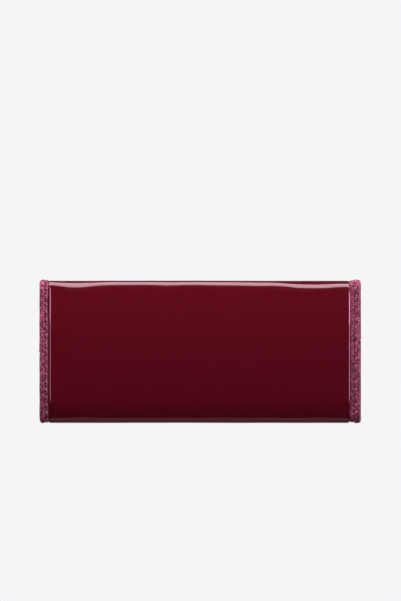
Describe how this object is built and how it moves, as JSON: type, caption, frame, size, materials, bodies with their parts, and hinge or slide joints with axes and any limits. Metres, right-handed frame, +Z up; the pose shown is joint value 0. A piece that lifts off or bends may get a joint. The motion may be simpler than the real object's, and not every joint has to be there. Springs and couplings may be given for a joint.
{
  "type": "long wallet",
  "caption": "Long flap wallet in patent leather with bound side edges, a press stud, card leaves, banknote pockets and a zipped coin purse.",
  "frame": {"origin": "middle of the base that the wallet stands on", "axes": "+X along the wallet's length, +Y from the plain back panel towards the flap, +Z up from the base to the spine"},
  "size_m": [0.19, 0.0287, 0.085],
  "materials": {
    "patent_leather": "patent gloss",
    "binding_leather": "pebbled grain, satin",
    "inner_leather": "smooth, satin",
    "lining_cloth": "woven",
    "padding": "soft foam-backed felt",
    "board": "matt",
    "thread": "waxed thread",
    "gold_metal": "polished, pale gold plate"
  },
  "bodies": {
    "shell": {"back_leather": "patent_leather", "back_foam": "padding", "back_board": "board", "back_lining": "lining_cloth", "base_lining": "lining_cloth", "rear_card_leaf_1": "inner_leather", "rear_card_leaf_2": "inner_leather", "rear_card_leaf_3": "inner_leather", "gusset_left": "inner_leather", "gusset_right": "inner_leather", "binding_back_upper_left": "binding_leather", "binding_back_upper_right": "binding_leather", "binding_back_lower_left": "binding_leather", "binding_back_lower_right": "binding_leather", "back_stitching": "thread"},
    "spine": {"spine_leather": "patent_leather", "spine_lining": "lining_cloth", "binding_spine_left": "binding_leather", "binding_spine_right": "binding_leather"},
    "flap": {"flap_leather": "patent_leather", "flap_board": "board", "flap_lining": "lining_cloth", "binding_flap_left": "binding_leather", "binding_flap_right": "binding_leather", "binding_flap_edge": "binding_leather", "flap_stitching": "thread", "snap_cap": "gold_metal", "snap_socket": "gold_metal"},
    "front_wall": {"front_leather": "patent_leather", "front_board": "board", "front_lining": "lining_cloth", "front_card_leaf_1": "inner_leather", "front_card_leaf_2": "inner_leather", "binding_front_left": "binding_leather", "binding_front_right": "binding_leather", "binding_front_top": "binding_leather", "front_stitching": "thread", "snap_stud": "gold_metal", "snap_post": "gold_metal"},
    "coin_purse": {"purse_rear_wall": "inner_leather", "purse_front_wall": "inner_leather", "purse_base": "inner_leather", "purse_end_left": "inner_leather", "purse_end_right": "inner_leather", "purse_lining": "lining_cloth", "zip_tape_rear": "lining_cloth", "zip_tape_front": "lining_cloth", "zip_teeth_rear": "gold_metal", "zip_teeth_front": "gold_metal", "zip_top_stop": "gold_metal", "zip_bottom_stop": "gold_metal"},
    "slider": {"zip_slider": "gold_metal"},
    "puller": {"zip_puller": "gold_metal"}
  },
  "joints": [
    {"name": "spine_fold", "type": "hinge", "parent": "shell", "child": "spine", "pos_m": [0, -0.01286, 0.08351], "axis": [1, 0, 0], "range_deg": [0, 90]},
    {"name": "flap_fold", "type": "hinge", "parent": "spine", "child": "flap", "pos_m": [0, 0.01236, 0.08351], "axis": [1, 0, 0], "range_deg": [0, 135]},
    {"name": "front_wall_tilt", "type": "hinge", "parent": "shell", "child": "front_wall", "pos_m": [0, 0.00905, 0.0012], "axis": [-1, 0, 0], "range_deg": [0, 18], "deforming": ["gusset_left", "gusset_right"]},
    {"name": "coin_purse_tilt", "type": "hinge", "parent": "shell", "child": "coin_purse", "pos_m": [0, -0.00145, 0.0032], "axis": [-1, 0, 0], "range_deg": [0, 9]},
    {"name": "zip_slide", "type": "slide", "parent": "coin_purse", "child": "slider", "axis": [-1, 0, 0], "range_m": [0, 0.126], "deforming": ["zip_tape_rear", "zip_tape_front", "zip_teeth_rear", "zip_teeth_front"]},
    {"name": "puller_swing", "type": "hinge", "parent": "slider", "child": "puller", "pos_m": [0.064, -0.00145, 0.0669], "axis": [0, 1, 0], "range_deg": [0, 180]}
  ],
  "couplings": [
    {"joint": "front_wall_tilt", "follows": "spine_fold", "ratio": 0.2},
    {"joint": "coin_purse_tilt", "follows": "spine_fold", "ratio": 0.1}
  ]
}
